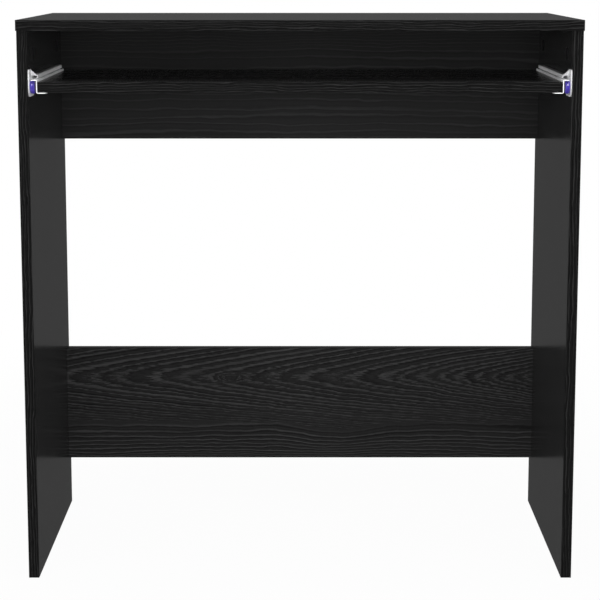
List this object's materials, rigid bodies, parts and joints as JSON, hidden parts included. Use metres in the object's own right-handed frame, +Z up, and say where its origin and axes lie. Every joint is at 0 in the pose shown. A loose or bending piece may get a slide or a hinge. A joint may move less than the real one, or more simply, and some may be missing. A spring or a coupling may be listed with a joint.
{
  "type": "computer desk with keyboard tray",
  "caption": "Compact black oak computer desk: worktop on two side panels tied by back panels, with a keyboard tray that pulls out on roller slides under the top.",
  "frame": {"origin": "on the floor, under the middle of the worktop", "axes": "+X to the right and +Y to the back for someone who sits at the desk, +Z up"},
  "size_m": [0.8, 0.4, 0.815],
  "materials": {
    "black_oak": "black oak melamine with an embossed grain, satin",
    "edge_banding": "black oak edge banding, satin",
    "white_rail": "white epoxy powder coat",
    "blue_nylon": "blue-violet nylon",
    "rivet_steel": "zinc-plated rivets",
    "screw_steel": "bright zinc-plated screws",
    "zinc": "zinc die-cast and plated steel",
    "black_cap": "black polyethylene",
    "beech": "plain beech"
  },
  "bodies": {
    "desk": {"worktop": "black_oak", "side_panel_left": "black_oak", "side_panel_right": "black_oak", "upper_back_panel": "black_oak", "lower_back_panel": "black_oak", "edge_bands_worktop": "edge_banding", "edge_bands_side_panel_left": "edge_banding", "edge_bands_side_panel_right": "edge_banding", "edge_bands_upper_back_panel": "edge_banding", "edge_bands_lower_back_panel": "edge_banding", "wall_rail_left": "white_rail", "wall_rail_right": "white_rail", "front_axle_left": "rivet_steel", "front_axle_right": "rivet_steel", "wall_rail_screws_left": "screw_steel", "wall_rail_screws_right": "screw_steel", "cam_locks_worktop_left": "zinc", "cam_locks_worktop_right": "zinc", "cam_locks_upper_panel": "zinc", "cam_locks_lower_panel": "zinc", "cam_bolts_worktop_left": "zinc", "cam_bolts_worktop_right": "zinc", "cam_bolts_upper_panel": "zinc", "cam_bolts_lower_panel": "zinc", "cam_caps_worktop_left": "black_cap", "cam_caps_worktop_right": "black_cap", "cam_caps_upper_panel": "black_cap", "cam_caps_lower_panel": "black_cap", "dowels_worktop_left": "beech", "dowels_worktop_right": "beech", "dowels_upper_panel": "beech", "dowels_lower_panel": "beech"},
    "tray": {"keyboard_tray": "black_oak", "edge_bands_keyboard_tray": "edge_banding", "tray_rail_left": "white_rail", "tray_rail_right": "white_rail", "rear_axle_left": "rivet_steel", "rear_axle_right": "rivet_steel", "tray_rail_screws_left": "screw_steel", "tray_rail_screws_right": "screw_steel"},
    "front_roller_left_body": {"front_roller_left": "blue_nylon"},
    "front_roller_right_body": {"front_roller_right": "blue_nylon"},
    "rear_roller_left_body": {"rear_roller_left": "blue_nylon"},
    "rear_roller_right_body": {"rear_roller_right": "blue_nylon"}
  },
  "joints": [
    {"name": "tray_slide", "type": "slide", "parent": "desk", "child": "tray", "axis": [0, -1, 0], "range_m": [0, 0.215]},
    {"name": "front_roller_left_spin", "type": "hinge", "parent": "desk", "child": "front_roller_left_body", "pos_m": [-0.3791, -0.1833, 0.7201], "axis": [1, 0, 0], "continuous": true},
    {"name": "front_roller_right_spin", "type": "hinge", "parent": "desk", "child": "front_roller_right_body", "pos_m": [0.3791, -0.1833, 0.7201], "axis": [1, 0, 0], "continuous": true},
    {"name": "rear_roller_left_spin", "type": "hinge", "parent": "tray", "child": "rear_roller_left_body", "pos_m": [-0.3794, 0.0939, 0.7253], "axis": [1, 0, 0], "continuous": true},
    {"name": "rear_roller_right_spin", "type": "hinge", "parent": "tray", "child": "rear_roller_right_body", "pos_m": [0.3794, 0.0939, 0.7253], "axis": [1, 0, 0], "continuous": true}
  ],
  "couplings": [
    {"joint": "front_roller_left_spin", "follows": "tray_slide", "rad_per_m": 105.26},
    {"joint": "front_roller_right_spin", "follows": "tray_slide", "rad_per_m": 105.26},
    {"joint": "rear_roller_left_spin", "follows": "tray_slide", "rad_per_m": 105.26},
    {"joint": "rear_roller_right_spin", "follows": "tray_slide", "rad_per_m": 105.26}
  ]
}
